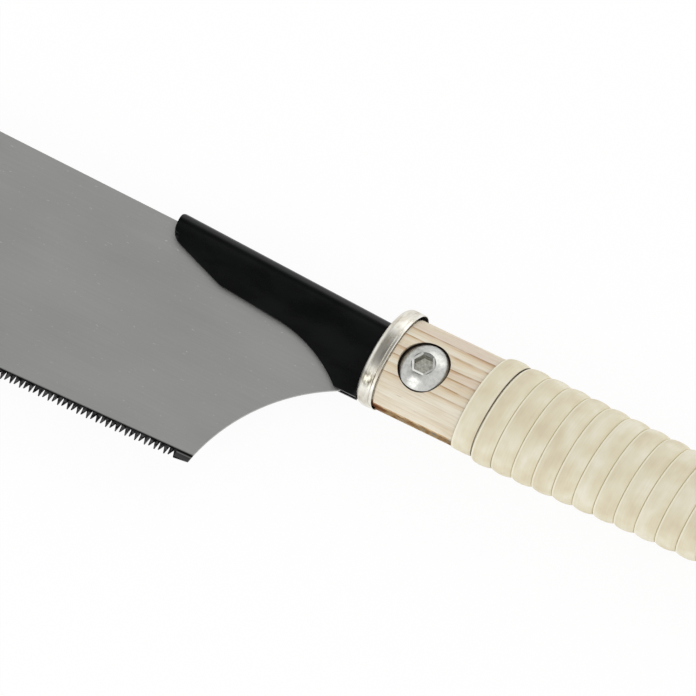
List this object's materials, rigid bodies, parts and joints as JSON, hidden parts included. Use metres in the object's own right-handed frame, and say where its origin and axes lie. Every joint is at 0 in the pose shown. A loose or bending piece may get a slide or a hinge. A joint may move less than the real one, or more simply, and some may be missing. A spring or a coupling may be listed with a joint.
{
  "type": "kataba saw",
  "caption": "Single-edged pull saw with a hook-in blade in a folded steel holder, a steel ferrule and a bolted oval wooden handle wound with rattan.",
  "frame": {"origin": "middle of the flat butt end of the handle", "axes": "+X along the handle, out of its butt; +Y towards the spine of the blade; +Z out of the blade's side, with the saw lying flat"},
  "size_m": [0.5461, 0.0761, 0.023],
  "materials": {
    "blade_steel": "satin ground spring steel, the teeth dark from impulse hardening",
    "black_enamel": "semi-gloss black enamel on folded sheet steel",
    "bright_steel": "bright stainless fastener steel",
    "plated_steel": "nickel-plated pressed steel, slightly warm",
    "handle_wood": "pale bare hardwood with brown pore streaks along the grain",
    "rattan": "peeled flat rattan strip, satin"
  },
  "bodies": {
    "handle": {"blade_holder": "black_enamel", "hook_pin": "bright_steel", "tang_spacer": "bright_steel", "ferrule": "plated_steel", "handle_core": "handle_wood", "handle_bolt": "bright_steel", "handle_washer": "bright_steel", "handle_nut": "bright_steel", "rattan_wrap": "rattan"},
    "blade": {"saw_blade": "blade_steel"}
  },
  "joints": [
    {"name": "blade_swing", "type": "hinge", "parent": "handle", "child": "blade", "pos_m": [-0.24633, -0.004, 0], "axis": [0, 0, 1], "range_deg": [0, 18]}
  ]
}
